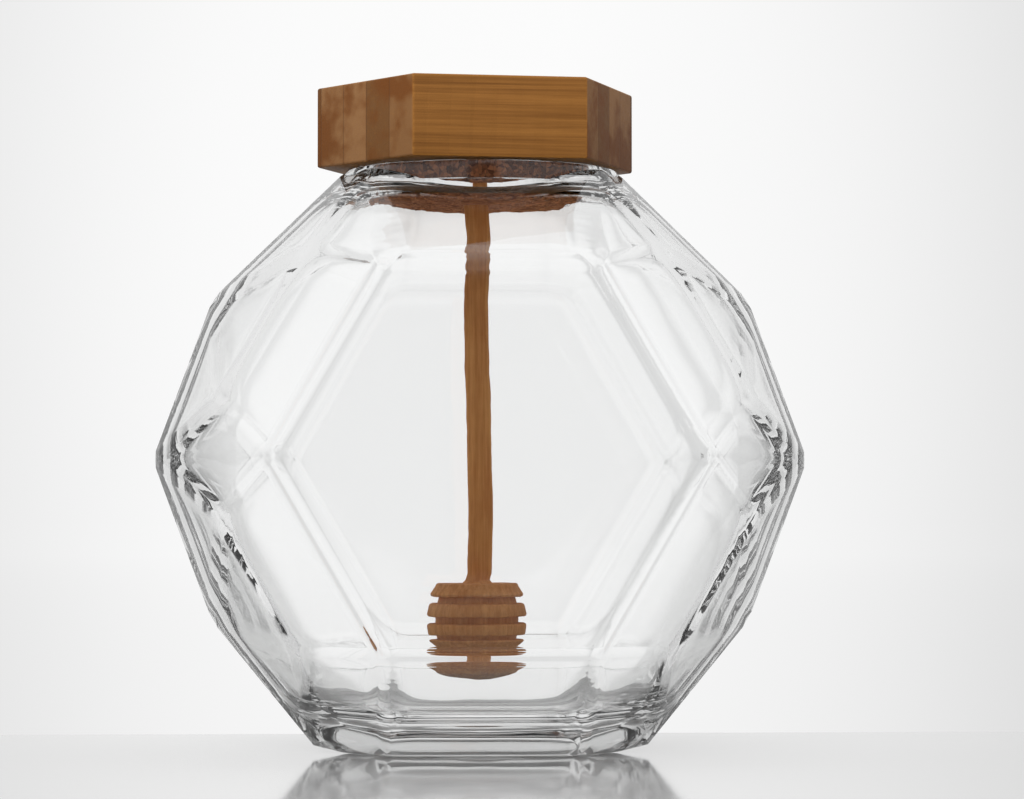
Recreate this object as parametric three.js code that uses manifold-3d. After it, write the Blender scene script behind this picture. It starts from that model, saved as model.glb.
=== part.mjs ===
// Hexagonal glass honey jar with a cork stopper, a bamboo lid and a honey dipper.
// Millimetres, +Z up. The origin is the centre of the base, and the front face looks along -Y.

import * as THREE from 'three';
import { ConvexGeometry } from 'three/addons/geometries/ConvexGeometry.js';
import { mergeVertices } from 'three/addons/utils/BufferGeometryUtils.js';
import Module from 'manifold-3d';

const wasm = await Module();
wasm.setup();

// Outer form of the glass: a flattened gem, alike to the left and right and to the front and back
const BELT_HALF_WIDTH = 55;
const BELT_HEIGHT = 49;
const HALF_DEPTH = 43;
const FACE_HALF_WIDTH = 34.3;
const FACE_EDGE_HALF = 16.5;
const FACE_HALF_HEIGHT = 30.7;
const BEND_HALF_WIDTH = 45;
const BEND_RISE = 27;
const BASE_HALF_WIDTH = 27;
const KITE_SHARE = 0.444;
const KITE_RISE = 9.9;
const FACET_TOP_RISE = 3.6;
const SHOULDER_TILT = THREE.MathUtils.degToRad(57);
const SHOULDER_EDGE_HALF = 15.6;
const HEEL_TILT = THREE.MathUtils.degToRad(58.5);
const HEEL_CHAMFER = 1.2;

// Neck and hollow of the glass
const RIM_HEIGHT = 97.3;
const NECK_RADIUS = 23;
const NECK_ROOT = 84;
const BORE_RADIUS = 19;
const BORE_BOTTOM = 90;
const WALL = 3.5;
const FLOOR_HEIGHT = 7;
const HOLLOW_TOP = 92;

// Cork stopper in the neck
const CORK_LOW_RADIUS = 17.1;
const CORK_HIGH_RADIUS = 18.4;
const CORK_BOTTOM = 90.3;
const CORK_EDGE = 0.6;
const CORK_SHIFT_X = -0.2;
const SOCKET_DEPTH = 3.5;

// Bamboo lid: a hexagonal block, turned a little on the rim
const LID_THICKNESS = 13.3;
const LID_CORNER_X = 26.9;
const LID_SIDE_HALF = 14.3;
const LID_HALF_DEPTH = 23.4;
const LID_EDGE = 0.5;
const LID_TURN = THREE.MathUtils.degToRad(7.7);
const LID_SHIFT_X = -0.9;

// Dipper: a turned stick with a ringed head
const DIPPER_X = -0.8;
const STICK_RADIUS = 2.1;
const HEAD_TOP = 28.4;
const HEAD_BOTTOM = 13.1;
const HEAD_MIDDLE = 22;
const HEAD_RADIUS = 8.4;
const HEAD_BULGE = 11.5;
const RING_COUNT = 3;
const RING_PITCH = 3.35;
const RING_THICKNESS = 2.25;
const GROOVE_DEPTH = 1.4;
const TIP_HEIGHT = 2;
const TIP_STEPS = 5;

// Shared values: the gap between neighbours, the distance at which two points are one, and the
// fineness of round pieces
const GAP = 0.3;
const WELD = 0.0001;
const ROUND_SEGMENTS = 64;
const SMALL_SEGMENTS = 40;
const CUTTER_SIZE = 200;

const GLASS = new THREE.MeshStandardMaterial({ color: 0xe9eeec, roughness: 0.05, metalness: 0 });
const CORK = new THREE.MeshStandardMaterial({ color: 0x8a5a3c, roughness: 0.95, metalness: 0 });
const BAMBOO = new THREE.MeshStandardMaterial({ color: 0xa9753a, roughness: 0.6, metalness: 0 });
const WOOD = new THREE.MeshStandardMaterial({ color: 0xa8683a, roughness: 0.7, metalness: 0 });

// A closed geometry as a solid that can be cut and joined
function toSolid(geometry) {
  const bare = geometry.clone();
  bare.deleteAttribute('normal');
  bare.deleteAttribute('uv');
  const merged = mergeVertices(bare, WELD);
  return new wasm.Manifold(new wasm.Mesh({
    numProp: 3,
    vertProperties: new Float32Array(merged.attributes.position.array),
    triVerts: new Uint32Array(merged.index.array),
  }));
}

// A cut solid as a geometry again
function toGeometry(solid) {
  const mesh = solid.getMesh();
  const geometry = new THREE.BufferGeometry();
  geometry.setAttribute('position', new THREE.BufferAttribute(mesh.vertProperties, 3));
  geometry.setIndex(new THREE.BufferAttribute(mesh.triVerts, 1));
  geometry.computeVertexNormals();
  return geometry;
}

// A turned solid about the Z axis, from [radius, height] points that start and end on the axis
function turned(profile, segments) {
  const points = profile.map(([radius, height]) => new THREE.Vector2(radius, height));
  const geometry = new THREE.LatheGeometry(points, segments);
  geometry.rotateX(Math.PI / 2);
  return geometry;
}

function cylinder(radius, bottom, top) {
  return turned([[0, bottom], [radius, bottom], [radius, top], [0, top]], ROUND_SEGMENTS);
}

// A block that fills everything above or below a level, for cutting solids off flat
function blockAbove(level) {
  const block = new THREE.BoxGeometry(CUTTER_SIZE, CUTTER_SIZE, CUTTER_SIZE);
  return block.translate(0, 0, level + CUTTER_SIZE / 2);
}

function blockBelow(level) {
  const block = new THREE.BoxGeometry(CUTTER_SIZE, CUTTER_SIZE, CUTTER_SIZE);
  return block.translate(0, 0, level - CUTTER_SIZE / 2);
}

function planeThrough(a, b, c) {
  return new THREE.Plane().setFromCoplanarPoints(a, b, c);
}

// The point where three planes meet
function meet(p, q, r) {
  const rows = new THREE.Matrix3().set(
    p.normal.x, p.normal.y, p.normal.z,
    q.normal.x, q.normal.y, q.normal.z,
    r.normal.x, r.normal.y, r.normal.z,
  );
  return new THREE.Vector3(-p.constant, -q.constant, -r.constant).applyMatrix3(rows.invert());
}

// Each corner of the gem that lies to the front and the right, named by where it is
function gemCorners() {
  const at = (x, y, z) => new THREE.Vector3(x, y, z);
  const faceSide = at(FACE_HALF_WIDTH, -HALF_DEPTH, BELT_HEIGHT);
  const faceTop = at(FACE_EDGE_HALF, -HALF_DEPTH, BELT_HEIGHT + FACE_HALF_HEIGHT);
  const faceBottom = at(FACE_EDGE_HALF, -HALF_DEPTH, BELT_HEIGHT - FACE_HALF_HEIGHT);
  const beltSide = at(BELT_HALF_WIDTH, 0, BELT_HEIGHT);
  const bendTop = at(BEND_HALF_WIDTH, 0, BELT_HEIGHT + BEND_RISE);
  const bendBottom = at(BEND_HALF_WIDTH, 0, BELT_HEIGHT - BEND_RISE);
  const baseSide = at(BASE_HALF_WIDTH, 0, 0);

  // The kite beside the face: its upper and lower corners stand over one point of its long axis
  const kiteMiddle = faceSide.clone().lerp(beltSide, KITE_SHARE);
  const kiteTop = kiteMiddle.clone().add(at(0, 0, KITE_RISE));
  const kiteBottom = kiteMiddle.clone().add(at(0, 0, -KITE_RISE));

  // The facet beside the face's upper edge ends at the depth where the kite is widest
  const kiteDepth = new THREE.Plane(at(0, 1, 0), -kiteMiddle.y);
  const facetTopLevel = new THREE.Plane(at(0, 0, 1), -(faceTop.z + FACET_TOP_RISE));
  const upperFacet = planeThrough(faceSide, faceTop, kiteTop);
  const facetTop = meet(upperFacet, kiteDepth, facetTopLevel);

  // The shoulder leans back from the face's top edge, up to the rim
  const shoulderRise = (kiteMiddle.y - faceTop.y) / Math.tan(SHOULDER_TILT);
  const shoulderEdge = at(SHOULDER_EDGE_HALF, kiteMiddle.y, faceTop.z + shoulderRise);
  const rimSide = at(NECK_RADIUS, 0, RIM_HEIGHT);
  const rimLevel = new THREE.Plane(at(0, 0, 1), -RIM_HEIGHT);
  const shoulder = planeThrough(faceTop, shoulderEdge, faceTop.clone().add(at(1, 0, 0)));
  const upperKite = planeThrough(faceTop, shoulderEdge, facetTop);
  const upperBelt = planeThrough(bendTop, rimSide, facetTop);
  const rimFront = meet(shoulder, upperKite, rimLevel);
  const rimKite = meet(upperKite, upperBelt, rimLevel);

  // The heel leans back from the face's bottom edge, down to the base
  const downHeel = at(0, Math.sin(HEEL_TILT), -Math.cos(HEEL_TILT));
  const baseFront = faceBottom.clone().addScaledVector(downHeel, faceBottom.z / -downHeel.z);
  const lowerFacet = planeThrough(faceSide, faceBottom, kiteBottom);
  const lowerKite = planeThrough(faceBottom, baseFront, baseSide);
  const facetBottom = meet(lowerFacet, lowerKite, kiteDepth);

  return [
    faceSide, faceTop, faceBottom, beltSide, bendTop, bendBottom, baseSide, kiteTop, kiteBottom,
    facetTop, rimSide, rimFront, rimKite, baseFront, facetBottom,
  ];
}

// Some corners with all their mirror copies, to the left and right and to the front and back
function mirrored(corners) {
  const points = [];
  for (const corner of corners) {
    for (const sideX of [1, -1]) {
      for (const sideY of [1, -1]) {
        points.push(corner.clone().multiply(new THREE.Vector3(sideX, sideY, 1)));
      }
    }
  }
  return points;
}

// The whole gem, shrunk towards the middle of the belt by an inset measured on its axes
function gem(inset) {
  const middle = new THREE.Vector3(0, 0, BELT_HEIGHT);
  const shrink = new THREE.Vector3(
    1 - inset / BELT_HALF_WIDTH,
    1 - inset / HALF_DEPTH,
    1 - inset / BELT_HEIGHT,
  );
  const points = mirrored(gemCorners());
  points.forEach((point) => point.sub(middle).multiply(shrink).add(middle));
  return toSolid(new ConvexGeometry(points));
}

// The gem standing on a small chamfer round its base
function gemOnHeel() {
  const foot = mirrored(gemCorners().filter((corner) => corner.z < WELD));
  const footShare = 1 - HEEL_CHAMFER / BASE_HALF_WIDTH;
  foot.forEach((point) => point.multiplyScalar(footShare).setZ(0));
  const sliced = toGeometry(gem(0).subtract(toSolid(blockBelow(HEEL_CHAMFER))));
  const corners = sliced.attributes.position;
  const points = [...foot];
  for (let i = 0; i < corners.count; i += 1) {
    points.push(new THREE.Vector3().fromBufferAttribute(corners, i));
  }
  return toSolid(new ConvexGeometry(points));
}

function glassJar() {
  const outside = gemOnHeel().add(toSolid(cylinder(NECK_RADIUS, NECK_ROOT, RIM_HEIGHT)));
  const hollow = gem(WALL)
    .subtract(toSolid(blockBelow(FLOOR_HEIGHT)))
    .subtract(toSolid(blockAbove(HOLLOW_TOP)));
  const bore = toSolid(cylinder(BORE_RADIUS, BORE_BOTTOM, RIM_HEIGHT + GAP));
  return toGeometry(outside.subtract(hollow).subtract(bore));
}

function corkStopper() {
  const plug = turned([
    [0, CORK_BOTTOM],
    [CORK_LOW_RADIUS - CORK_EDGE, CORK_BOTTOM],
    [CORK_LOW_RADIUS, CORK_BOTTOM + CORK_EDGE],
    [CORK_HIGH_RADIUS, RIM_HEIGHT],
    [0, RIM_HEIGHT],
  ], ROUND_SEGMENTS);
  plug.translate(CORK_SHIFT_X, 0, 0);
  const socket = cylinder(STICK_RADIUS + GAP, CORK_BOTTOM - GAP, CORK_BOTTOM + SOCKET_DEPTH);
  socket.translate(DIPPER_X, 0, 0);
  return toGeometry(toSolid(plug).subtract(toSolid(socket)));
}

function bambooLid() {
  const outline = new THREE.Shape([
    new THREE.Vector2(LID_CORNER_X, 0),
    new THREE.Vector2(LID_SIDE_HALF, LID_HALF_DEPTH),
    new THREE.Vector2(-LID_SIDE_HALF, LID_HALF_DEPTH),
    new THREE.Vector2(-LID_CORNER_X, 0),
    new THREE.Vector2(-LID_SIDE_HALF, -LID_HALF_DEPTH),
    new THREE.Vector2(LID_SIDE_HALF, -LID_HALF_DEPTH),
  ]);
  const block = new THREE.ExtrudeGeometry(outline, {
    depth: LID_THICKNESS - 2 * LID_EDGE,
    bevelThickness: LID_EDGE,
    bevelSize: LID_EDGE,
    bevelOffset: -LID_EDGE,
    bevelSegments: 2,
  });
  return block.translate(0, 0, LID_EDGE);
}

// The head swells in the middle. Three rings stand out above a rounded cap, with a groove below each ring
function headProfile() {
  const bulge = (height) => HEAD_RADIUS * Math.sqrt(1 - ((height - HEAD_MIDDLE) / HEAD_BULGE) ** 2);
  const profile = [];
  const roundTop = HEAD_BOTTOM + TIP_HEIGHT;
  for (let step = 0; step <= TIP_STEPS; step += 1) {
    const turn = (Math.PI / 2) * (step / TIP_STEPS);
    profile.push([bulge(roundTop) * Math.sin(turn), roundTop - TIP_HEIGHT * Math.cos(turn)]);
  }
  for (let ring = RING_COUNT - 1; ring >= 0; ring -= 1) {
    const high = HEAD_TOP - ring * RING_PITCH;
    const low = high - RING_THICKNESS;
    const grooveLow = high - RING_PITCH;
    profile.push([bulge(grooveLow), grooveLow]);
    profile.push([bulge(grooveLow) - GROOVE_DEPTH, grooveLow]);
    profile.push([bulge(low) - GROOVE_DEPTH, low]);
    profile.push([bulge(low), low]);
  }
  profile.push([bulge(HEAD_TOP), HEAD_TOP]);
  return profile;
}

function honeyDipper() {
  const stickTop = CORK_BOTTOM + SOCKET_DEPTH - GAP;
  return turned([
    ...headProfile(),
    [STICK_RADIUS, HEAD_TOP],
    [STICK_RADIUS, stickTop],
    [0, stickTop],
  ], SMALL_SEGMENTS);
}

function named(name, geometry, material) {
  const mesh = new THREE.Mesh(geometry, material);
  mesh.name = name;
  return mesh;
}

const jar = new THREE.Group();

jar.add(named('glass_jar', glassJar(), GLASS));
jar.add(named('cork_stopper', corkStopper(), CORK));

const lid = named('bamboo_lid', bambooLid(), BAMBOO);
lid.position.set(LID_SHIFT_X, 0, RIM_HEIGHT + GAP);
lid.rotation.z = LID_TURN;
jar.add(lid);

const dipper = named('honey_dipper', honeyDipper(), WOOD);
dipper.position.x = DIPPER_X;
jar.add(dipper);

export default jar;
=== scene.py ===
"""A hexagonal glass honey jar with a cork stopper, a bamboo lid and a wooden honey dipper."""

import math

import bmesh
import bpy
from mathutils import Matrix, Vector, noise


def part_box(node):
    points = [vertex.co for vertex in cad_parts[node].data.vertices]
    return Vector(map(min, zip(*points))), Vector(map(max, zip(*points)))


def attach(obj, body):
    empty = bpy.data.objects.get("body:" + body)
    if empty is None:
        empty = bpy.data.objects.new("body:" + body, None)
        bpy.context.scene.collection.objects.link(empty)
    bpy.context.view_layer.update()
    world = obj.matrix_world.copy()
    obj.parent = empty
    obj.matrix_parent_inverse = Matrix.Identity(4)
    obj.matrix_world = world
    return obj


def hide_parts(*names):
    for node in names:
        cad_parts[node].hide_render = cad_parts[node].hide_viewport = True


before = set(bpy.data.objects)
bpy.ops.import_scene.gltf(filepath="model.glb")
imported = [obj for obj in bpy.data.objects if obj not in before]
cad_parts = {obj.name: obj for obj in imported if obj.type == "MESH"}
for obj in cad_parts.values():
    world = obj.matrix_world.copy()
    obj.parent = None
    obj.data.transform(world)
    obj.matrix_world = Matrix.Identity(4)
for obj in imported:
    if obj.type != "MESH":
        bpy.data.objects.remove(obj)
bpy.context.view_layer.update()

bl_info = {
    "name": "Honey jar",
    "version": (1, 0, 0),
    "blender": (4, 5, 0),
    "location": "View3D > Sidebar > Honey Jar",
    "description": "Builds a faceted honey jar with cork, bamboo lid and dipper round its frame",
    "category": "Object",
}

MM = 0.001
BODY = "root"
TINY = 0.01 * MM
FLAT_ANGLE = math.radians(1)
ROUND_SEGMENTS = 128
# How far the middle of a rounded corner lies from each of its sides, as a share of its radius
CORNER_SHARE = 0.3

# Outer form of the glass, in millimetres: one quarter of a flattened gem
BELT_HALF_WIDTH = 55.0
BELT_HEIGHT = 49.0
HALF_DEPTH = 43.0
FACE_HALF_WIDTH = 34.3
FACE_EDGE_HALF = 16.5
FACE_HALF_HEIGHT = 30.7
BEND_HALF_WIDTH = 45.0
BEND_RISE = 27.0
BASE_HALF_WIDTH = 27.0
KITE_SHARE = 0.444
KITE_RISE = 9.9
FACET_TOP_RISE = 3.6
SHOULDER_TILT = math.radians(57)
SHOULDER_EDGE_HALF = 15.6
HEEL_TILT = math.radians(58.5)
RIM_HEIGHT = 97.3
NECK_RADIUS = 23.0

# Edges above this height, and further than this from the plane between front and back, lie below the neck;
# both in millimetres
NECK_EDGE_HEIGHT = 83.0
NECK_EDGE_DEPTH = 20.0
# Share of the edge softness that the edges on the plane between front and back get
BELT_EDGE_SHARE = 0.25

# The hollow's mesh: its voxels, how often it is smoothed, and the zones where it is pressed in or smoothed
# further, with lengths in millimetres
HOLLOW_VOXEL = 0.68
HOLLOW_PASSES = 36
PRESS_TOP = 50.0
PRESS_FADE = 14.0
PRESS_DEPTH = 25.0
SOFT_FADE = 8.0
SOFT_DEPTH = 29.0
SOFT_BOTTOM = 18.0
SOFT_TOP = 79.0
SOFT_TOP_FADE = 6.0
HOLLOW_RIPPLE_SIZE = 18.0

# The dipper: heights in millimetres, and the number of steps up its stick
HEAD_TOP = 28.4
STICK_START = 29.0
STICK_STEPS = 60

# How far the dipper's stick, which isn't quite straight, leans sideways at each height, in millimetres
STICK_LEAN = (
    (0.0, 0.0), (28.5, 0.0), (30.5, 0.45), (40.0, 0.6), (52.0, 0.4), (59.0, 0.3), (64.5, 0.0),
    (75.0, -0.12), (81.0, 0.05), (84.5, 0.35), (88.0, 0.05), (91.0, -0.2), (94.0, -0.2),
)

# Patterns of the materials: how many fibres, fibre ends or granules lie in a metre
FINE_FIBRES = 2600.0
COARSE_FIBRES = 1000.0
DIPPER_FIBRES = 1500.0
FIBRE_ENDS = 1300.0
CORK_GRANULES = 1400.0

# Camera: its place, and the way it looks, with the jar's own axis a little left of the picture's middle
CAMERA_PLACE = (-20.5 * MM, -569.6 * MM, 41.1 * MM)
CAMERA_YAW = math.radians(-2.58)
CAMERA_PITCH = math.radians(1.81)
CAMERA_LENS = 119.4
CAMERA_SENSOR = 36.0

# The glow behind the jar, by the angle from its middle: it fades between two angles, and has a bright core
GLOW_REACH = math.radians(44)
GLOW_FULL = math.radians(21)
CORE_REACH = math.radians(10)
CORE_DARK = 0.82
CORE_LIGHT = 0.97
# The glow's right side is a little darker: where the change starts and ends, and its share of the light
SIDE_START = 0.06
SIDE_END = 0.2
SIDE_SHARE = 0.93

# The table and the ground behind it, in metres
TABLE_WIDTH = 6.0
TABLE_DEPTH = 3.0
TABLE_DROP = 0.05 * MM
GROUND_WIDTH = 16.0
GROUND_DEPTH = 8.0
GROUND_DROP = 1.5 * MM


def clear_selection():
    """Leaves edit mode and selects nothing."""
    if bpy.context.mode != "OBJECT":
        bpy.ops.object.mode_set(mode="OBJECT")
    bpy.ops.object.select_all(action="DESELECT")


def take(piece):
    """Makes a piece the only selected and the active object."""
    clear_selection()
    piece.select_set(True)
    bpy.context.view_layer.objects.active = piece


def added(name):
    """Names the object that an add operator has just made."""
    piece = bpy.context.active_object
    piece.name = name
    piece.data.name = name
    return piece


def settle(piece):
    """Moves a piece's place, turn and size into its mesh."""
    take(piece)
    bpy.ops.object.transform_apply(location=True, rotation=True, scale=True)


def apply_modifier(piece, kind, **settings):
    """Gives a piece a modifier with its settings, and applies it."""
    take(piece)
    modifier = piece.modifiers.new(kind.title(), kind)
    for key, value in settings.items():
        setattr(modifier, key, value)
    bpy.ops.object.modifier_apply(modifier=modifier.name)


def pick(piece, kind, test):
    """Selects, in edit mode, only the elements of a kind that pass a test."""
    mesh = bmesh.from_edit_mesh(piece.data)
    for each in (mesh.verts, mesh.edges, mesh.faces):
        for element in each:
            element.select = False
    for element in getattr(mesh, kind):
        if test(element):
            element.select_set(True)
    mesh.select_flush_mode()
    bmesh.update_edit_mesh(piece.data)


def start_edit(piece, kind="FACE"):
    """Opens a piece for editing, with everything in it selected."""
    take(piece)
    bpy.ops.object.mode_set(mode="EDIT")
    bpy.ops.mesh.select_mode(type=kind)
    bpy.ops.mesh.select_all(action="SELECT")


def end_edit():
    bpy.ops.object.mode_set(mode="OBJECT")


def smooth_by_angle(piece, degrees):
    take(piece)
    bpy.ops.object.shade_smooth_by_angle(angle=math.radians(degrees))


def cut_block(name, low, high, cuts):
    """A block cut flat by planes, each given as a point on it and the direction that is cut away."""
    clear_selection()
    middle = (Vector(low) + Vector(high)) / 2
    bpy.ops.mesh.primitive_cube_add(size=1, location=middle, scale=Vector(high) - Vector(low))
    piece = added(name)
    settle(piece)
    start_edit(piece)
    for point, away in cuts:
        bpy.ops.mesh.select_all(action="SELECT")
        bpy.ops.mesh.bisect(plane_co=point, plane_no=away, use_fill=True, clear_outer=True)
    end_edit()
    return piece


def shift(piece, x, y):
    """Moves a piece's mesh sideways."""
    start_edit(piece)
    bpy.ops.transform.translate(value=(x, y, 0))
    end_edit()


def turned(name, profile, segments, sway=None):
    """A turned piece, from (radius, height) steps that go upwards; sway(height) shifts each step sideways."""
    clear_selection()
    radius, height = profile[0]
    offset = Vector(sway(height)) if sway else Vector((0, 0))
    bpy.ops.mesh.primitive_circle_add(
        vertices=segments, radius=radius, fill_type="NGON", location=(offset.x, offset.y, height)
    )
    piece = added(name)
    settle(piece)
    start_edit(piece)
    for next_radius, next_height in profile[1:]:
        next_offset = Vector(sway(next_height)) if sway else Vector((0, 0))
        move = next_offset - offset
        bpy.ops.mesh.extrude_region_move(
            TRANSFORM_OT_translate={"value": (move.x, move.y, next_height - height)}
        )
        share = next_radius / radius
        bpy.ops.transform.resize(
            value=(share, share, 1), center_override=(next_offset.x, next_offset.y, next_height)
        )
        radius, height, offset = next_radius, next_height, next_offset
    bpy.ops.mesh.select_all(action="SELECT")
    bpy.ops.mesh.normals_make_consistent(inside=False)
    end_edit()
    return piece


def ripple(piece, strength, size):
    """Moves the surface in and out a little, along its normals, by smooth noise of one size."""
    mesh = piece.data
    moves = [vertex.normal * strength * noise.noise(vertex.co / size) for vertex in mesh.vertices]
    for vertex, move in zip(mesh.vertices, moves):
        vertex.co += move
    mesh.update()


def finish_piece(piece, material, node):
    """Gives a piece its material, lets it stand for its node, and makes it ride with the body."""
    piece.data.materials.clear()
    piece.data.materials.append(material)
    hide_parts(node)
    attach(piece, BODY)


# Glass, cork, lid and dipper


def facet_planes():
    """The facets of the front right quarter: the zone of its wall, a point on it and its outward normal."""

    def at(x, y, z):
        return Vector((x, y, z)) * MM

    face_top_height = BELT_HEIGHT + FACE_HALF_HEIGHT
    face_bottom_height = BELT_HEIGHT - FACE_HALF_HEIGHT
    face_side = at(FACE_HALF_WIDTH, -HALF_DEPTH, BELT_HEIGHT)
    face_top = at(FACE_EDGE_HALF, -HALF_DEPTH, face_top_height)
    face_bottom = at(FACE_EDGE_HALF, -HALF_DEPTH, face_bottom_height)
    belt_side = at(BELT_HALF_WIDTH, 0, BELT_HEIGHT)
    bend_top = at(BEND_HALF_WIDTH, 0, BELT_HEIGHT + BEND_RISE)
    bend_bottom = at(BEND_HALF_WIDTH, 0, BELT_HEIGHT - BEND_RISE)
    base_side = at(BASE_HALF_WIDTH, 0, 0)
    rim_side = at(NECK_RADIUS, 0, RIM_HEIGHT)
    kite_middle = face_side.lerp(belt_side, KITE_SHARE)
    kite_top = kite_middle + at(0, 0, KITE_RISE)
    kite_bottom = kite_middle - at(0, 0, KITE_RISE)

    middle = at(0, 0, BELT_HEIGHT)
    across = at(1, 0, 0)

    def facet(a, b, c):
        normal = (b - a).cross(c - a).normalized()
        return a, normal if normal.dot(a - middle) > 0 else -normal

    def meet(p, q, r):
        rows = Matrix((p[1], q[1], r[1]))
        return rows.inverted() @ Vector((p[0].dot(p[1]), q[0].dot(q[1]), r[0].dot(r[1])))

    kite_depth = (kite_middle, Vector((0, 1, 0)))
    facet_top_level = (at(0, 0, face_top_height + FACET_TOP_RISE), Vector((0, 0, 1)))
    upper_facet = facet(face_side, face_top, kite_top)
    facet_top = meet(upper_facet, kite_depth, facet_top_level)
    back_run = kite_middle.y / MM + HALF_DEPTH
    shoulder_edge = at(
        SHOULDER_EDGE_HALF, kite_middle.y / MM, face_top_height + back_run / math.tan(SHOULDER_TILT)
    )
    base_front = at(
        FACE_EDGE_HALF, -HALF_DEPTH + face_bottom_height * math.tan(HEEL_TILT), 0
    )
    lower_facet = facet(face_side, face_bottom, kite_bottom)
    lower_kite = facet(face_bottom, base_front, base_side)
    facet_bottom = meet(lower_facet, lower_kite, kite_depth)
    return [
        ("face", (face_side, Vector((0, -1, 0)))),
        ("side", facet(face_top, shoulder_edge, face_top + across)),
        ("heel", facet(face_bottom, base_front, face_bottom + across)),
        ("side", upper_facet),
        ("side", lower_facet),
        ("kite", facet(face_side, kite_top, kite_bottom)),
        ("side", facet(face_top, shoulder_edge, facet_top)),
        ("heel", lower_kite),
        ("side", facet(kite_top, belt_side, bend_top)),
        ("side", facet(kite_bottom, belt_side, bend_bottom)),
        ("side", facet(kite_top, bend_top, facet_top)),
        ("side", facet(kite_bottom, bend_bottom, facet_bottom)),
        ("side", facet(bend_top, rim_side, facet_top)),
        ("heel", facet(bend_bottom, base_side, facet_bottom)),
    ]


def gem_block(name, insets, bottom, top):
    """The gem with each facet moved inwards by the inset of its zone, cut level at bottom and top."""
    size = 2 * BELT_HALF_WIDTH * MM
    cuts = [(point - normal * insets[zone], normal) for zone, (point, normal) in facet_planes()]
    piece = cut_block(name, (0, -size, bottom), (size, 0, top), cuts)
    start_edit(piece)
    # The two faces on the mirror planes go, so that the quarters join to one closed body
    pick(piece, "faces", lambda f: any(all(abs(v.co[axis]) < TINY for v in f.verts) for axis in (0, 1)))
    bpy.ops.mesh.delete(type="FACE")
    end_edit()
    apply_modifier(piece, "MIRROR", use_axis=(True, True, False), use_clip=True, merge_threshold=TINY)
    start_edit(piece)
    bpy.ops.mesh.remove_doubles(threshold=TINY)
    bpy.ops.mesh.dissolve_limited(angle_limit=FLAT_ANGLE)
    bpy.ops.mesh.select_all(action="SELECT")
    bpy.ops.mesh.normals_make_consistent(inside=False)
    end_edit()
    return piece


def edge_width(edge, settings):
    """How widely an edge of the gem is rounded: most at the base and below the neck, least at the sides."""
    middle = (edge.verts[0].co + edge.verts[1].co) / 2
    top_height = (BELT_HEIGHT + FACE_HALF_HEIGHT) * MM
    if middle.z < TINY:
        return settings.heel_softness
    if middle.y > HALF_DEPTH * MM - TINY:
        return settings.back_softness
    if middle.y < TINY - HALF_DEPTH * MM and middle.z > top_height - TINY:
        return settings.top_softness
    if abs(middle.y) < TINY:
        return BELT_EDGE_SHARE * settings.edge_softness
    if middle.z > NECK_EDGE_HEIGHT * MM and abs(middle.y) > NECK_EDGE_DEPTH * MM:
        return settings.neck_softness
    return settings.edge_softness


def round_edges(piece, settings):
    """Rounds every edge of the gem over its own width."""
    start_edit(piece, "EDGE")
    mesh = bmesh.from_edit_mesh(piece.data)
    widths = sorted({edge_width(edge, settings) for edge in mesh.edges})
    for width in widths:
        pick(piece, "edges", lambda edge: edge_width(edge, settings) == width)
        bpy.ops.transform.edge_bevelweight(value=width / widths[-1])
    end_edit()
    apply_modifier(
        piece, "BEVEL", width=widths[-1], segments=6, limit_method="WEIGHT", use_clamp_overlap=False
    )


def smooth_step(share):
    """A share held between 0 and 1, with a soft start and end."""
    share = min(1, max(0, share))
    return share * share * (3 - 2 * share)


def weigh(piece, name, share):
    """A vertex group whose weight is a share worked out from each vertex's place, held between 0 and 1."""
    group = piece.vertex_groups.new(name=name)
    for vertex in piece.data.vertices:
        group.add([vertex.index], min(1, max(0, share(vertex.co))), "REPLACE")


def combine(piece, other, operation):
    """Joins another piece to this one, or cuts it away, and deletes the other."""
    apply_modifier(piece, "BOOLEAN", object=other, operation=operation, solver="EXACT")
    bpy.data.objects.remove(other, do_unlink=True)


def punt(settings):
    """The shallow dome that is cut out of the underside: made with a radius of one, then brought to size."""
    rise = settings.punt_rise
    steps = 12
    profile = [(1.0, -1 * MM), (1.0, 0.0)]
    for step in range(1, steps):
        radius = 1 - step / steps
        profile.append((radius, rise * (1 - radius ** 2)))
    dome = turned("punt", profile, 96)
    start_edit(dome)
    bpy.ops.transform.resize(value=(settings.punt_width, settings.punt_depth, 1), center_override=(0, 0, 0))
    end_edit()
    return dome


def press_share(place):
    """How far a point of the hollow is pressed inwards: fully low in the middle of the sides."""
    low = smooth_step((PRESS_TOP * MM - place.z) / (PRESS_FADE * MM))
    return low * max(0, 1 - abs(place.y) / (PRESS_DEPTH * MM))


def soft_share(place):
    """How far a point of the hollow is smoothed further: at the sides, in the base and below the neck."""
    return max(
        (SOFT_DEPTH * MM - abs(place.y)) / (SOFT_FADE * MM),
        (SOFT_BOTTOM * MM - place.z) / (SOFT_FADE * MM),
        (place.z - SOFT_TOP * MM) / (SOFT_TOP_FADE * MM),
    )


def build_hollow(walls, settings):
    """The gem within the walls, remeshed, pressed in low on its sides, then smoothed as blown glass is."""
    hollow = gem_block("hollow", walls, settings.floor, settings.hollow_top)
    apply_modifier(hollow, "REMESH", mode="VOXEL", voxel_size=HOLLOW_VOXEL * MM)
    apply_modifier(hollow, "SMOOTH", factor=0.5, iterations=HOLLOW_PASSES)
    weigh(hollow, "low", press_share)
    apply_modifier(hollow, "DISPLACE", strength=-settings.low_press, mid_level=0, vertex_group="low")
    weigh(hollow, "soft", soft_share)
    apply_modifier(hollow, "SMOOTH", factor=0.5, iterations=settings.hollow_smoothing, vertex_group="soft")
    ripple(hollow, settings.hollow_ripple, HOLLOW_RIPPLE_SIZE * MM)
    return hollow


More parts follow.
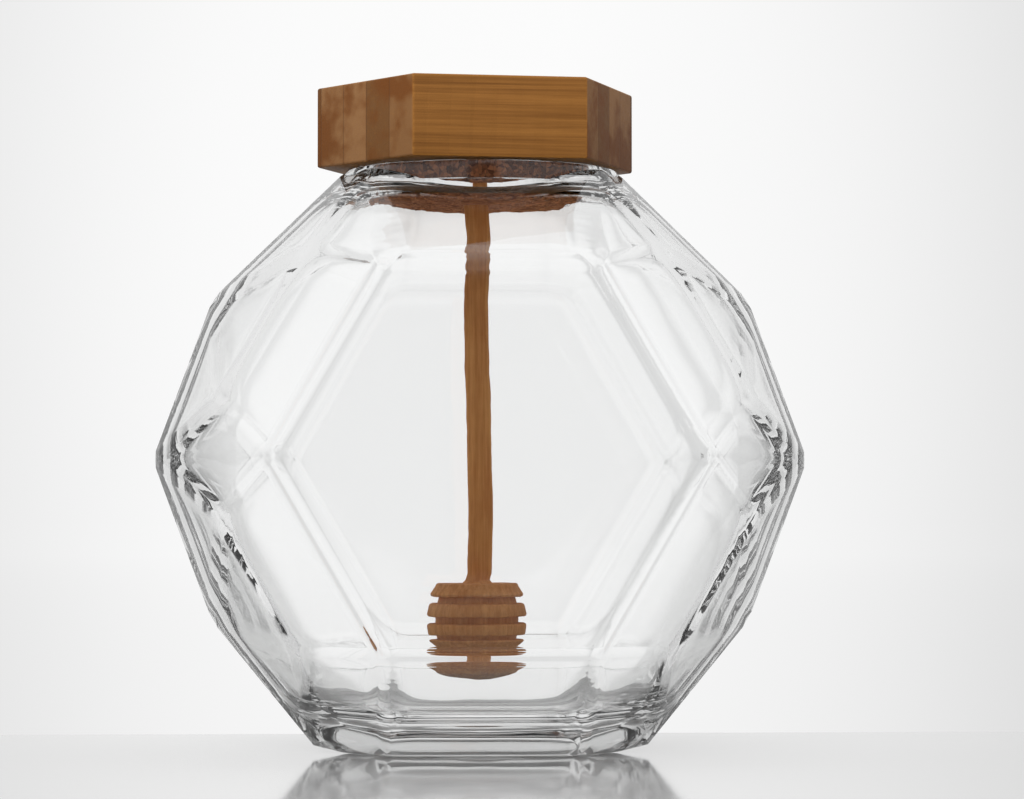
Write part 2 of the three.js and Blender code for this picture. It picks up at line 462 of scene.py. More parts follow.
def build_glass(settings):
    walls = {
        "face": settings.face_wall,
        "kite": settings.kite_wall,
        "side": settings.side_wall,
        "heel": settings.heel_wall,
    }
    glass = gem_block("glass", dict.fromkeys(walls, 0), 0, RIM_HEIGHT * MM)
    round_edges(glass, settings)
    rim = RIM_HEIGHT * MM
    radius = NECK_RADIUS * MM
    lip = 0.6 * MM
    ring = [(radius, settings.neck_root), (radius, rim - lip)]
    ring += [(radius - CORNER_SHARE * lip, rim - CORNER_SHARE * lip), (radius - lip, rim)]
    combine(glass, turned("neck", ring, ROUND_SEGMENTS), "UNION")
    combine(glass, build_hollow(walls, settings), "DIFFERENCE")
    bore = [(settings.bore, settings.hollow_top - 2 * MM), (settings.bore, rim + lip)]
    combine(glass, turned("bore", bore, ROUND_SEGMENTS), "DIFFERENCE")
    combine(glass, punt(settings), "DIFFERENCE")
    smooth_by_angle(glass, 35)
    apply_modifier(glass, "WEIGHTED_NORMAL", mode="FACE_AREA", weight=50, keep_sharp=True)
    finish_piece(glass, glass_material(settings), "glass_jar")


def build_cork(settings):
    low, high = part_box("cork_stopper")
    middle = (low + high) / 2
    edge = 2.2 * MM
    radius = settings.cork_radius
    reach = (high.x - low.x) / 2
    # A quarter round at the lower end, then a slight cone up to the rim
    profile = [
        (radius - edge, low.z),
        (radius - 0.5 * edge, low.z + 0.13 * edge),
        (radius - 0.13 * edge, low.z + 0.5 * edge),
        (radius, low.z + edge),
        (reach - 0.1 * MM, high.z - 0.3 * MM),
        (reach - 0.4 * MM, high.z),
    ]
    cork = turned("cork", profile, 96)
    shift(cork, middle.x, middle.y)
    apply_modifier(cork, "REMESH", mode="VOXEL", voxel_size=0.45 * MM)
    # Coarse granules, then fine ones, and both ends pressed flat again
    ripple(cork, 0.35 * MM, 1.6 * MM)
    ripple(cork, 0.2 * MM, 0.7 * MM)
    start_edit(cork, "VERT")
    for level, below in ((low.z, True), (high.z, False)):
        pick(cork, "verts", lambda v: v.co.z < level if below else v.co.z > level)
        bpy.ops.transform.resize(value=(1, 1, 0.001), center_override=(0, 0, level))
    end_edit()
    hole = settings.stick_radius + 0.15 * MM
    socket = turned("socket", [(hole, low.z - 2 * MM), (hole, low.z + 3.5 * MM)], 48)
    shift(socket, settings.dipper_x, 0)
    combine(cork, socket, "DIFFERENCE")
    smooth_by_angle(cork, 60)
    finish_piece(cork, cork_material(settings), "cork_stopper")


def build_lid(settings):
    low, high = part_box("bamboo_lid")
    corner = settings.lid_corner
    side = settings.lid_side
    depth = settings.lid_depth
    away = Vector((depth, corner - side, 0)).normalized()
    cuts = [
        (Vector((corner * sx, 0, 0)), Vector((away.x * sx, away.y * sy, 0)))
        for sx in (1, -1)
        for sy in (1, -1)
    ]
    lid = cut_block("lid", (-corner, -depth, low.z), (corner, depth, high.z), cuts)
    start_edit(lid, "EDGE")
    bpy.ops.mesh.remove_doubles(threshold=TINY)
    bpy.ops.mesh.dissolve_limited(angle_limit=FLAT_ANGLE)
    bpy.ops.mesh.select_all(action="SELECT")
    bpy.ops.mesh.bevel(offset=0.4 * MM, segments=4, profile=0.5, affect="EDGES")
    end_edit()
    lid.rotation_euler.z = settings.lid_turn
    lid.location.x = settings.lid_shift
    settle(lid)
    smooth_by_angle(lid, 50)
    finish_piece(lid, bamboo_material(settings), "bamboo_lid")


def head_profile(bottom):
    """The dipper's head from its tip up: a rounded cap, then three rings with a groove below each."""
    # The head swells like an egg round its middle; its rings keep one pitch
    middle = 22 * MM
    bulge = 11.5 * MM
    radius = 8.4 * MM
    top = HEAD_TOP * MM
    pitch = 3.35 * MM
    thick = 2.25 * MM
    groove = 1.4 * MM
    round_edge = 0.45 * MM
    corner = CORNER_SHARE * round_edge
    tip = 2.0 * MM
    tip_steps = 8

    def swell(height):
        return radius * math.sqrt(max(0, 1 - ((height - middle) / bulge) ** 2))

    steps = []
    for step in range(1, tip_steps + 1):
        turn = math.pi / 2 * step / tip_steps
        steps.append((swell(bottom + tip) * math.sin(turn), bottom + tip * (1 - math.cos(turn))))
    for ring in (2, 1, 0):
        high = top - ring * pitch
        low = high - thick
        groove_low = high - pitch
        outer = swell(groove_low)
        steps.append((outer, groove_low - round_edge))
        steps.append((outer - corner, groove_low - corner))
        steps.append((outer - round_edge, groove_low))
        steps.append((outer - groove, groove_low + 0.02 * MM))
        steps.append((swell(low) - groove, low - 0.02 * MM))
        steps.append((swell(low) - round_edge, low))
        steps.append((swell(low) - corner, low + corner))
        steps.append((swell(low), low + round_edge))
    steps.append((swell(top), top - round_edge))
    steps.append((swell(top) - corner, top - corner))
    steps.append((swell(top) - round_edge, top))
    return steps


def build_dipper(settings):
    low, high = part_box("honey_dipper")
    start = STICK_START * MM
    stick = settings.stick_radius
    steps = head_profile(low.z)
    steps.append((stick + 0.5 * MM, HEAD_TOP * MM))
    steps.append((stick, start))
    for step in range(1, STICK_STEPS + 1):
        steps.append((stick, start + (high.z - start) * step / STICK_STEPS))

    def sway(height):
        lean = STICK_LEAN[-1][1]
        for (low_at, low_lean), (high_at, high_lean) in zip(STICK_LEAN, STICK_LEAN[1:]):
            if low_at * MM <= height < high_at * MM:
                share = smooth_step((height / MM - low_at) / (high_at - low_at))
                lean = low_lean + (high_lean - low_lean) * share
                break
        return settings.dipper_x + lean * MM, 0.0

    dipper = turned("dipper", steps, 72, sway)
    ripple(dipper, 0.09 * MM, 2.2 * MM)
    smooth_by_angle(dipper, 40)
    finish_piece(dipper, dipper_material(settings), "honey_dipper")


# Materials


class Nodes:
    """A node tree that is filled with short calls."""

    def __init__(self, tree):
        self.tree = tree

    def add(self, kind, inputs=None, **settings):
        """A new node, with its settings, and with inputs that are set or linked."""
        node = self.tree.nodes.new(kind)
        for key, value in settings.items():
            setattr(node, key, value)
        for key, value in (inputs or {}).items():
            if isinstance(value, bpy.types.NodeSocket):
                self.tree.links.new(value, node.inputs[key])
            else:
                node.inputs[key].default_value = value
        return node

    def math(self, operation, a, b=0.0):
        return self.add("ShaderNodeMath", {0: a, 1: b}, operation=operation).outputs[0]

    def vector(self, operation, a, b=(0, 0, 0), output=0):
        return self.add("ShaderNodeVectorMath", {0: a, 1: b}, operation=operation).outputs[output]

    def parts(self, vector):
        return self.add("ShaderNodeSeparateXYZ", {0: vector}).outputs

    def mix(self, share, a, b, blend="MIX"):
        node = self.add("ShaderNodeMix", data_type="RGBA", blend_type=blend)
        for key, value in ((0, share), (6, a), (7, b)):
            if isinstance(value, bpy.types.NodeSocket):
                self.tree.links.new(value, node.inputs[key])
            else:
                node.inputs[key].default_value = value
        return node.outputs[2]

    def spread(self, value, low, high, to_low=0.0, to_high=1.0, smooth=False):
        node = self.add(
            "ShaderNodeMapRange",
            {0: value, 1: low, 2: high, 3: to_low, 4: to_high},
            interpolation_type="SMOOTHSTEP" if smooth else "LINEAR",
        )
        return node.outputs[0]

    def noise(self, vector, scale, detail=3.0, roughness=0.5):
        return self.add(
            "ShaderNodeTexNoise", {"Vector": vector, "Scale": scale, "Detail": detail, "Roughness": roughness}
        ).outputs

    def bump(self, height, strength, distance):
        return self.add(
            "ShaderNodeBump", {"Strength": strength, "Distance": distance, "Height": height}
        ).outputs[0]

    def place(self, vector, kind="POINT", location=(0, 0, 0), rotation=(0, 0, 0), scale=(1, 1, 1)):
        return self.add(
            "ShaderNodeMapping",
            {"Vector": vector, "Location": location, "Rotation": rotation, "Scale": scale},
            vector_type=kind,
        ).outputs[0]


def new_material(name):
    """A material with a Principled shader, and the piece's own coordinates for its patterns."""
    material = bpy.data.materials.new(name)
    material.use_nodes = True
    material.node_tree.nodes.clear()
    nodes = Nodes(material.node_tree)
    shader = nodes.add("ShaderNodeBsdfPrincipled")
    out = nodes.add("ShaderNodeOutputMaterial")
    material.node_tree.links.new(shader.outputs[0], out.inputs[0])
    place = nodes.add("ShaderNodeTexCoord").outputs["Object"]
    return material, nodes, shader, place


def feed(nodes, shader, **values):
    """Sets the shader's sockets: a value directly, an output by a link."""
    for key, value in values.items():
        socket = shader.inputs[key.replace("_", " ").title().replace("Ior", "IOR")]
        if isinstance(value, bpy.types.NodeSocket):
            nodes.tree.links.new(value, socket)
        else:
            socket.default_value = value


def grain_group():
    """Fibres that run along the local X, as fine light and dark streaks."""
    group = bpy.data.node_groups.get("fibre_grain")
    if group:
        return group
    group = bpy.data.node_groups.new("fibre_grain", "ShaderNodeTree")
    group.interface.new_socket("Vector", in_out="INPUT", socket_type="NodeSocketVector")
    group.interface.new_socket("Fibre Length", in_out="INPUT", socket_type="NodeSocketFloat")
    group.interface.new_socket("Fibres", in_out="INPUT", socket_type="NodeSocketFloat")
    group.interface.new_socket("Streaks", in_out="OUTPUT", socket_type="NodeSocketFloat")
    nodes = Nodes(group)
    given = nodes.add("NodeGroupInput").outputs
    result = nodes.add("NodeGroupOutput")
    parts = nodes.parts(given["Vector"])
    along = nodes.math("DIVIDE", parts[0], given["Fibre Length"])
    across = nodes.math("MULTIPLY", parts[1], given["Fibres"])
    up = nodes.math("MULTIPLY", parts[2], given["Fibres"])
    stretched = nodes.add("ShaderNodeCombineXYZ", {0: along, 1: across, 2: up}).outputs[0]
    fine = nodes.noise(stretched, 1.0, 4.0, 0.65)[0]
    nodes.tree.links.new(nodes.spread(fine, 0.3, 0.7), result.inputs["Streaks"])
    return group


def grain(nodes, vector, length, fibres):
    """Places the fibre grain in a material, with its own length and number of fibres in a metre."""
    node = nodes.add("ShaderNodeGroup", node_tree=grain_group())
    nodes.tree.links.new(vector, node.inputs["Vector"])
    node.inputs["Fibre Length"].default_value = length
    node.inputs["Fibres"].default_value = fibres
    return node.outputs["Streaks"]


def glass_material(settings):
    material, nodes, shader, place = new_material("glass")
    wave = nodes.bump(nodes.noise(place, 60.0, 2.0, 0.4)[0], 0.06, 1 * MM)
    # Painted shade: seen at a slant, the middle of the sides is coloured grey for the darker studio that the
    # thick walls refract there; fully low down, and a third as much higher up
    shade_depth = 18 * MM
    clear_depth = 26 * MM
    shade_height = 38 * MM
    pale_height = 56 * MM
    parts = nodes.parts(place)
    middle = nodes.spread(nodes.math("ABSOLUTE", parts[1]), clear_depth, shade_depth, smooth=True)
    low = nodes.spread(parts[2], pale_height, shade_height, 0.35, 1.0, smooth=True)
    facing = nodes.add("ShaderNodeLayerWeight", {"Blend": 0.5}).outputs["Facing"]
    slant = nodes.spread(facing, 0.2, 0.55, smooth=True)
    share = nodes.math("MULTIPLY", nodes.math("MULTIPLY", middle, low), slant)
    colour = nodes.mix(share, (*settings.glass_colour, 1), (*settings.glass_painted_shade, 1))
    feed(nodes, shader, base_color=colour, normal=wave, roughness=0.0, ior=1.5, transmission_weight=1.0)
    return material


def cork_material(settings):
    material, nodes, shader, place = new_material("cork")
    # Granules with bent outlines, each of its own tone, and thin dark seams between them
    warp = nodes.noise(place, 500.0, 2.0)[1]
    bent = nodes.mix(0.0012, place, warp, "ADD")
    cells = nodes.add("ShaderNodeTexVoronoi", {"Vector": bent, "Scale": CORK_GRANULES})
    tone = nodes.add("ShaderNodeSeparateColor", {0: cells.outputs["Color"]}).outputs[0]
    blotch = nodes.noise(place, 180.0, 3.0, 0.6)[0]
    mixed = nodes.math("ADD", nodes.math("MULTIPLY", tone, 0.6), nodes.math("MULTIPLY", blotch, 0.4))
    colour = nodes.mix(nodes.spread(mixed, 0.15, 0.85), (*settings.cork_dark, 1), (*settings.cork_light, 1))
    seams = nodes.add(
        "ShaderNodeTexVoronoi", {"Vector": bent, "Scale": CORK_GRANULES}, feature="DISTANCE_TO_EDGE"
    )
    seam = nodes.spread(seams.outputs[0], 0.0, 0.12, 1.0, 0.0)
    colour = nodes.mix(nodes.math("MULTIPLY", seam, 0.3), colour, (*settings.cork_seam, 1))
    grit = nodes.bump(nodes.math("SUBTRACT", mixed, seam), 0.5, 0.3 * MM)
    feed(nodes, shader, base_color=colour, roughness=nodes.spread(mixed, 0.0, 1.0, 0.75, 0.95), normal=grit)
    shader.inputs["Specular IOR Level"].default_value = 0.15
    return material


def bamboo_material(settings):
    material, nodes, shader, place = new_material("bamboo")
    turn = settings.lid_turn
    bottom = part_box("bamboo_lid")[0].z
    local = nodes.place(place, "TEXTURE", location=(settings.lid_shift, 0, bottom), rotation=(0, 0, turn))
    # Strips side by side, each with its own luck, and fibres that run along them
    across = nodes.math("ADD", nodes.parts(local)[1], settings.lid_depth)
    row = nodes.math("DIVIDE", across, settings.strip_width)
    index = nodes.math("FLOOR", row)
    inside = nodes.math("FRACT", row)
    luck = nodes.add("ShaderNodeTexWhiteNoise", {"W": index}, noise_dimensions="1D").outputs[0]
    fine = grain(nodes, local, 30 * MM, FINE_FIBRES)
    coarse = grain(nodes, local, 55 * MM, COARSE_FIBRES)
    mixed = nodes.math("ADD", nodes.math("MULTIPLY", fine, 0.35), nodes.math("MULTIPLY", coarse, 0.45))
    mixed = nodes.math("ADD", mixed, nodes.math("MULTIPLY", luck, 0.25))
    dark = (*settings.bamboo_dark, 1)
    colour = nodes.mix(nodes.spread(mixed, 0.2, 0.85), dark, (*settings.bamboo_light, 1))
    # The cut ends of the fibres are darker, denser towards one side of each strip, with warm patches
    normal = nodes.add("ShaderNodeNewGeometry").outputs["Normal"]
    facing = nodes.vector("DOT_PRODUCT", normal, (math.cos(turn), math.sin(turn), 0), "Value")
    end = nodes.spread(nodes.math("ABSOLUTE", facing), 0.45, 0.75)
    short = nodes.place(local, scale=(0.1, 1, 1))
    dots = nodes.add("ShaderNodeTexVoronoi", {"Vector": short, "Scale": FIBRE_ENDS})
    dot = nodes.spread(dots.outputs["Distance"], 0.2, 0.45, 1.0, 0.0)
    dense = nodes.math("MULTIPLY", dot, nodes.spread(inside, 0.0, 1.0, 0.25, 1.0))
    cut_colour = nodes.mix(nodes.math("MULTIPLY", dense, 0.5), (*settings.bamboo_end, 1), dark)
    patch = nodes.spread(nodes.noise(local, 110.0, 3.0, 0.55)[0], 0.42, 0.6, smooth=True)
    cut_colour = nodes.mix(nodes.math("MULTIPLY", luck, 0.6), cut_colour, (*settings.bamboo_end_light, 1))
    cut_colour = nodes.mix(nodes.math("MULTIPLY", patch, 0.9), cut_colour, (*settings.bamboo_end_warm, 1))
    colour = nodes.mix(end, colour, cut_colour)
    # A thin dark glue line on both sides of each strip
    joint = nodes.math("MINIMUM", inside, nodes.math("SUBTRACT", 1.0, inside))
    line = nodes.spread(joint, 0.0, 0.035, 1.0, 0.0)
    colour = nodes.mix(nodes.math("MULTIPLY", line, 0.45), colour, (*settings.bamboo_glue, 1))
    height = nodes.math("SUBTRACT", mixed, nodes.math("MULTIPLY", line, 0.8))
    relief = nodes.bump(height, 0.25, 0.15 * MM)
    feed(nodes, shader, base_color=colour, roughness=nodes.spread(mixed, 0, 1, 0.5, 0.62), normal=relief)
    shader.inputs["Specular IOR Level"].default_value = 0.1
    return material


def dipper_material(settings):
    material, nodes, shader, place = new_material("dipper_wood")
    upright = nodes.place(place, rotation=(0, math.pi / 2, 0))
    streaks = grain(nodes, upright, 18 * MM, DIPPER_FIBRES)
    blotch = nodes.noise(place, 160.0, 3.0, 0.6)[0]
    mixed = nodes.math("ADD", nodes.math("MULTIPLY", streaks, 0.5), nodes.math("MULTIPLY", blotch, 0.5))
    colour = nodes.mix(nodes.spread(mixed, 0.2, 0.8), (*settings.wood_dark, 1), (*settings.wood_light, 1))
    relief = nodes.bump(mixed, 0.3, 0.2 * MM)
    feed(nodes, shader, base_color=colour, roughness=nodes.spread(mixed, 0, 1, 0.6, 0.8), normal=relief)
    shader.inputs["Specular IOR Level"].default_value = 0.15
    return material


# Stage


def backdrop_glow(nodes, way, side, rise):
    """The share and the brightness of the glow behind the jar, for a way looked along from the camera."""
    ahead = (math.sin(-CAMERA_YAW), math.cos(CAMERA_YAW), rise)
    near = nodes.vector("DOT_PRODUCT", way, ahead, "Value")
    glow = nodes.spread(near, math.cos(GLOW_REACH), math.cos(GLOW_FULL), smooth=True)
    core = nodes.spread(near, math.cos(CORE_REACH), 1.0, CORE_DARK, CORE_LIGHT, smooth=True)
    return glow, nodes.math("MULTIPLY", core, nodes.spread(side, SIDE_START, SIDE_END, 1.0, SIDE_SHARE))


def world_light(settings):
    """A white glow behind the jar, as a lit backdrop gives, in a grey studio that is brighter higher up."""
    world = bpy.data.worlds.new("studio")
    bpy.context.scene.world = world
    world.use_nodes = True
    world.node_tree.nodes.clear()
    nodes = Nodes(world.node_tree)
    way = nodes.add("ShaderNodeTexCoord").outputs["Generated"]
    parts = nodes.parts(way)
    # The glow is taller than it is wide
    tall = nodes.vector("NORMALIZE", nodes.place(way, scale=(1, 1, 0.55)))
    glow, core = backdrop_glow(nodes, tall, parts[0], 0.04)
    studio = nodes.spread(parts[2], 0.0, 0.3, settings.studio_side, settings.studio_top, smooth=True)
    # Behind the camera the studio has its own brightness, and is dark right round the camera
    front = nodes.spread(parts[1], -0.9, -0.2, 1.0, 0.0, smooth=True)
    camera_gap = nodes.spread(parts[1], -0.985, -0.95, 0.05, 1.0, smooth=True)
    beyond = nodes.math("MULTIPLY", studio, nodes.math("SUBTRACT", 1.0, front))
    behind = nodes.math("MULTIPLY", front, nodes.math("MULTIPLY", camera_gap, settings.studio_front))
    studio = nodes.math("ADD", beyond, behind)
    studio = nodes.math("MULTIPLY", studio, nodes.math("SUBTRACT", 1.0, glow))
    strength = nodes.math("ADD", studio, nodes.math("MULTIPLY", core, glow))
    shader = nodes.add("ShaderNodeBackground", {"Color": (1, 1, 1, 1), "Strength": strength})
    out = nodes.add("ShaderNodeOutputWorld")
    world.node_tree.links.new(shader.outputs[0], out.inputs[0])


def painted_glow_ground_material():
    """The white ground behind the table, with painted light: it glows as bright as the glow behind the jar,
    in a fan seen from the camera's place, and is pale beside it.
    """
    material, nodes, shader, place = new_material("ground")
    away = nodes.vector("SUBTRACT", place, (CAMERA_PLACE[0], CAMERA_PLACE[1], 0.0))
    flat = nodes.vector("NORMALIZE", nodes.vector("MULTIPLY", away, (1, 1, 0)))
    glow, core = backdrop_glow(nodes, flat, nodes.parts(flat)[0], 0.0)
    # Painted shade: the painted glow is a little darker close to the table
    run = nodes.vector("LENGTH", away, output="Value")
    core = nodes.math("MULTIPLY", core, nodes.spread(run, 0.6, 3.0, 0.95, 1.0))
    # Painted light: the glow is emission over a black base colour, with a pale grey base colour outside it
    feed(
        nodes, shader,
        base_color=nodes.mix(glow, (0.8, 0.8, 0.8, 1), (0, 0, 0, 1)),
        emission_color=nodes.mix(nodes.math("MULTIPLY", core, glow), (0, 0, 0, 1), (1, 1, 1, 1)),
        roughness=0.9, emission_strength=1.0,
    )
    shader.inputs["Specular IOR Level"].default_value = 0.0
    return material


def table_material(settings):
    """A pale polished table top with painted shade: its colour darkens beside the jar, so a painted pool of
    light stays round it; faint clouds in its tone and polish.
    """
    material, nodes, shader, place = new_material("table_top")
    cloud = nodes.noise(place, 9.0, 4.0, 0.6)[0]
    # Painted shade: the colour turns darker from 0.1 to 0.2 m to either side of the jar's axis
    beside = nodes.spread(nodes.math("ABSOLUTE", nodes.parts(place)[0]), 0.1, 0.2, smooth=True)
    near = Vector(settings.table_near)
    pale = nodes.mix(cloud, (*near, 1), (*(0.97 * near), 1))
    polish = settings.table_roughness
    feed(
        nodes, shader,
        base_color=nodes.mix(beside, pale, (*settings.table_painted_shade, 1)),
        roughness=nodes.spread(cloud, 0.3, 0.7, polish, polish * 1.15),
    )
    return material


def soft_light(name, place, aim, size, power):
    """A large area light that lights surfaces but is neither mirrored nor seen through the glass."""
    clear_selection()
    bpy.ops.object.light_add(type="AREA", location=place)
    lamp = bpy.context.active_object
    lamp.name = name
    lamp.data.shape = "RECTANGLE"
    lamp.data.size, lamp.data.size_y = size
    lamp.data.energy = power
    lamp.visible_glossy = False
    lamp.visible_transmission = False
    lamp.rotation_euler = (Vector(aim) - Vector(place)).to_track_quat("-Z", "Y").to_euler()


def floor_plane(name, width, depth, middle, drop, material):
    """A level plane of the stage: middle is its place from front to back, drop its depth below the base."""
    clear_selection()
    bpy.ops.mesh.primitive_plane_add(size=1, location=(0, middle, -drop))
    plane = added(name)
    plane.scale = (width, depth, 1)
    settle(plane)
    plane.data.materials.append(material)
    return plane


def place_camera():
    clear_selection()
    bpy.ops.object.camera_add(location=CAMERA_PLACE)
    camera = bpy.context.active_object
    camera.name = "camera"
    camera.rotation_euler = (math.pi / 2 + CAMERA_PITCH, 0, CAMERA_YAW)
    camera.data.sensor_width = CAMERA_SENSOR
    camera.data.lens = CAMERA_LENS
    camera.data.clip_end = 50
    bpy.context.scene.camera = camera


def build_stage(settings):
    edge = settings.table_edge
    table_middle = edge - TABLE_DEPTH / 2
    table = floor_plane("table", TABLE_WIDTH, TABLE_DEPTH, table_middle, TABLE_DROP, table_material(settings))
    ground_middle = edge + GROUND_DEPTH / 2
    ground = floor_plane("ground", GROUND_WIDTH, GROUND_DEPTH, ground_middle, GROUND_DROP, painted_glow_ground_material())
    # Places, aims and sizes of the lights in metres
    soft_light("overhead", (0.0, 0.0, 1.3), (0, 0, 0), (1.4, 1.2), settings.overhead_power)
    soft_light("front_fill", (-0.25, -1.5, 0.6), (0, 0, 0.08), (1.4, 1.0), settings.fill_power)
    world_light(settings)
    place_camera()
    # Light crosses many glass surfaces here, so it needs more bounces than usual
    scene = bpy.context.scene
    scene.view_settings.view_transform = "Standard"
    scene.cycles.max_bounces = 28
    scene.cycles.transmission_bounces = 24
    scene.cycles.glossy_bounces = 12
    scene.cycles.diffuse_bounces = 4
    scene.cycles.sample_clamp_indirect = 6


# Settings, operators and panel


def length(name, description, millimetres, low=0.0):
    """A length, given in millimetres and kept in metres; low is the least that it can be, in metres."""
    return bpy.props.FloatProperty(
        name=name, description=description, default=millimetres * MM, min=low, unit="LENGTH", precision=5
    )


def colour(name, description, value):
    return bpy.props.FloatVectorProperty(
        name=name, description=description, default=value, size=3, min=0, max=1, subtype="COLOR"
    )


def level(name, description, value):
    return bpy.props.FloatProperty(
        name=name, description=description, default=value, min=0, soft_max=1, subtype="FACTOR"
    )


def power(name, description, value):
    return bpy.props.FloatProperty(name=name, description=description, default=value, min=0, unit="POWER")


class HoneyJarSettings(bpy.types.PropertyGroup):
    face_wall: length("Face wall", "Thickness of the front and back faces", 4.0)
    kite_wall: length("Kite wall", "Thickness of the kites beside the faces", 2.2)
    side_wall: length("Side wall", "Thickness of the other facets", 2.8)
    heel_wall: length("Heel wall", "Thickness of the facets above the base", 1.8)
    low_press: length("Low press", "How much thicker the glass is low on its sides", 0.8)
    floor: length("Floor", "Thickness of the glass floor", 7.0)
    edge_softness: length("Edge softness", "Width over which a facet's edge is rounded", 1.2)
    back_softness: length("Back softness", "Width over which the edges of the back face are rounded", 2.4)
    top_softness: length("Top softness", "Width over which the top edge of the front face is rounded", 2.2)
    neck_softness: length("Neck softness", "Width over which the edges below the neck are rounded", 3.2)
    heel_softness: length("Heel softness", "Width over which the edge of the base is rounded", 3.8)
    hollow_smoothing: bpy.props.IntProperty(
        name="Inner smoothing",
        description="How often the soft zones of the hollow are smoothed",
        default=190,
        min=0,
        subtype="UNSIGNED",
    )
    punt_rise: length("Punt rise", "How far the dome in the underside rises", 1.5)
    punt_width: length("Punt width", "Half width of the dome in the underside", 14.0)
    punt_depth: length("Punt depth", "Half depth of the dome in the underside", 8.4)
    hollow_ripple: length("Ripple", "How far the inner surface waves", 0.05)
    hollow_top: length("Hollow top", "Height at which the hollow meets the bore", 92.0)
    neck_root: length("Neck root", "Height at which the ring of the mouth starts", 94.3)
    bore: length("Bore", "Radius of the neck's bore", 19.0)
    cork_radius: length("Cork radius", "Radius of the cork's lower end", 17.1)
    stick_radius: length("Stick radius", "Radius of the dipper's stick", 2.05)
    dipper_x: length("Dipper place", "Sideways place of the dipper", -0.8, -1.0)
    lid_corner: length("Lid corner", "Distance from the lid's middle to its left and right corners", 26.9)
    lid_side: length("Lid side", "Half width of the lid's front side", 14.3)
    lid_depth: length("Lid depth", "Distance from the lid's middle to its front side", 23.4)
    lid_shift: length("Lid shift", "Sideways place of the lid", -0.9, -1.0)
    strip_width: length("Strip width", "Thickness of one bamboo strip in the lid", 5.6)
    table_edge: length("Table edge", "Distance from the jar's axis to the table's far edge", 49.0)
    lid_turn: bpy.props.FloatProperty(
        name="Lid turn", description="How far the lid is turned", default=math.radians(7.7), subtype="ANGLE"
    )
    glass_colour: colour("Glass", "Colour of the glass", (0.997, 1.0, 0.999))
    # Painted shade: the grey colour given to the glass's sides where they are seen at a slant
    glass_painted_shade: colour("Glass grey", "Colour of the thick glass seen at a slant", (0.64, 0.645, 0.64))
    cork_dark: colour("Cork dark", "Dark granules of the cork", (0.16, 0.05, 0.02))
    cork_light: colour("Cork light", "Light granules of the cork", (0.75, 0.29, 0.13))
    cork_seam: colour("Cork seams", "Seams between the cork's granules", (0.02, 0.012, 0.008))
    bamboo_dark: colour("Bamboo dark", "Dark fibres of the lid", (0.13, 0.05, 0.008))
    bamboo_light: colour("Bamboo light", "Light fibres of the lid", (0.3, 0.13, 0.028))
    bamboo_glue: colour("Bamboo joints", "Glue lines between the lid's strips", (0.05, 0.02, 0.008))
    bamboo_end: colour("Cut ends", "Cut ends of the lid's fibres", (0.1, 0.042, 0.012))
    bamboo_end_warm: colour("Cut ends warm", "Warm patches among the cut ends", (0.11, 0.036, 0.007))
    bamboo_end_light: colour("Cut ends light", "Light strips among the cut ends", (0.27, 0.14, 0.06))
    wood_dark: colour("Dipper dark", "Dark grain of the dipper", (0.52, 0.18, 0.05))
    wood_light: colour("Dipper light", "Light grain of the dipper", (0.8, 0.38, 0.13))
    table_near: colour("Table", "Colour of the table round the jar", (0.4, 0.4, 0.4))
    # Painted shade: the darker colour of the table further to the sides
    table_painted_shade: colour("Table sides", "Colour of the table further to the sides", (0.16, 0.16, 0.16))
    table_roughness: level("Table roughness", "How dull the table's polish is", 0.07)
    studio_side: level("Studio sides", "Brightness of the studio round the jar", 0.4)
    studio_top: level("Studio top", "Brightness of the studio above the jar", 0.8)
    studio_front: level("Studio front", "Brightness of the studio behind the camera", 0.5)
    overhead_power: power("Overhead light", "Power of the light above", 8.0)
    fill_power: power("Front light", "Power of the light in front", 40.0)


class JARKIT_OT_glass(bpy.types.Operator):
    """Model the faceted glass with its neck and hollow"""

    bl_idname = "jarkit.glass"
    bl_label = "Glass"

    def execute(self, context):
        build_glass(context.scene.honey_jar)
        return {"FINISHED"}


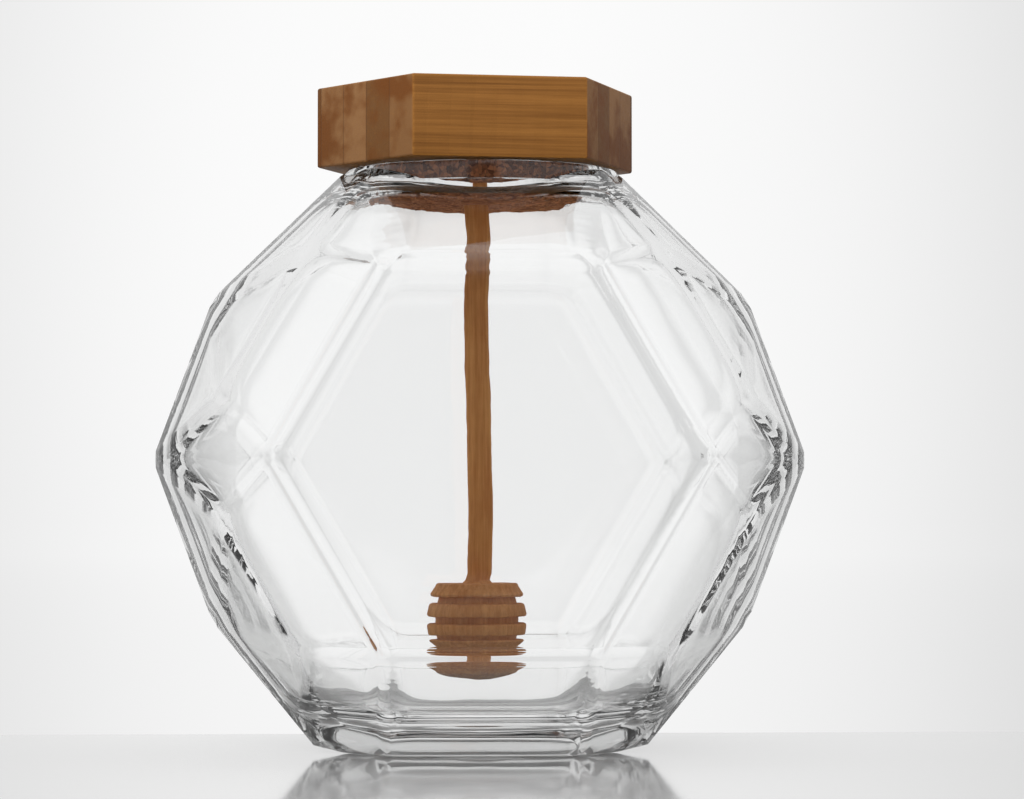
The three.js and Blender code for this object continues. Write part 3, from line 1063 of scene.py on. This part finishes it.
class JARKIT_OT_cork(bpy.types.Operator):
    """Model the cork stopper with the socket for the stick"""

    bl_idname = "jarkit.cork"
    bl_label = "Cork Stopper"

    def execute(self, context):
        build_cork(context.scene.honey_jar)
        return {"FINISHED"}


class JARKIT_OT_lid(bpy.types.Operator):
    """Model the hexagonal bamboo lid"""

    bl_idname = "jarkit.lid"
    bl_label = "Bamboo Lid"

    def execute(self, context):
        build_lid(context.scene.honey_jar)
        return {"FINISHED"}


class JARKIT_OT_dipper(bpy.types.Operator):
    """Model the turned dipper with its ringed head"""

    bl_idname = "jarkit.dipper"
    bl_label = "Honey Dipper"

    def execute(self, context):
        build_dipper(context.scene.honey_jar)
        return {"FINISHED"}


class JARKIT_OT_stage(bpy.types.Operator):
    """Set the table, the lights and the camera"""

    bl_idname = "jarkit.stage"
    bl_label = "Stage"

    def execute(self, context):
        build_stage(context.scene.honey_jar)
        return {"FINISHED"}


class JARKIT_PT_panel(bpy.types.Panel):
    """The jar's settings and the steps that build it"""

    bl_idname = "JARKIT_PT_panel"
    bl_label = "Honey Jar"
    bl_space_type = "VIEW_3D"
    bl_region_type = "UI"
    bl_category = "Honey Jar"

    def draw(self, context):
        settings = context.scene.honey_jar
        for key in HoneyJarSettings.__annotations__:
            self.layout.prop(settings, key)
        for operator in OPERATORS:
            self.layout.operator(operator.bl_idname)


OPERATORS = (JARKIT_OT_stage, JARKIT_OT_glass, JARKIT_OT_cork, JARKIT_OT_lid, JARKIT_OT_dipper)
CLASSES = (HoneyJarSettings, *OPERATORS, JARKIT_PT_panel)


def register():
    for cls in CLASSES:
        bpy.utils.register_class(cls)
    bpy.types.Scene.honey_jar = bpy.props.PointerProperty(type=HoneyJarSettings)


def unregister():
    del bpy.types.Scene.honey_jar
    for cls in reversed(CLASSES):
        bpy.utils.unregister_class(cls)


def main():
    register()
    bpy.ops.jarkit.stage()
    bpy.ops.jarkit.glass()
    bpy.ops.jarkit.cork()
    bpy.ops.jarkit.lid()
    bpy.ops.jarkit.dipper()


if __name__ == "__main__":
    main()
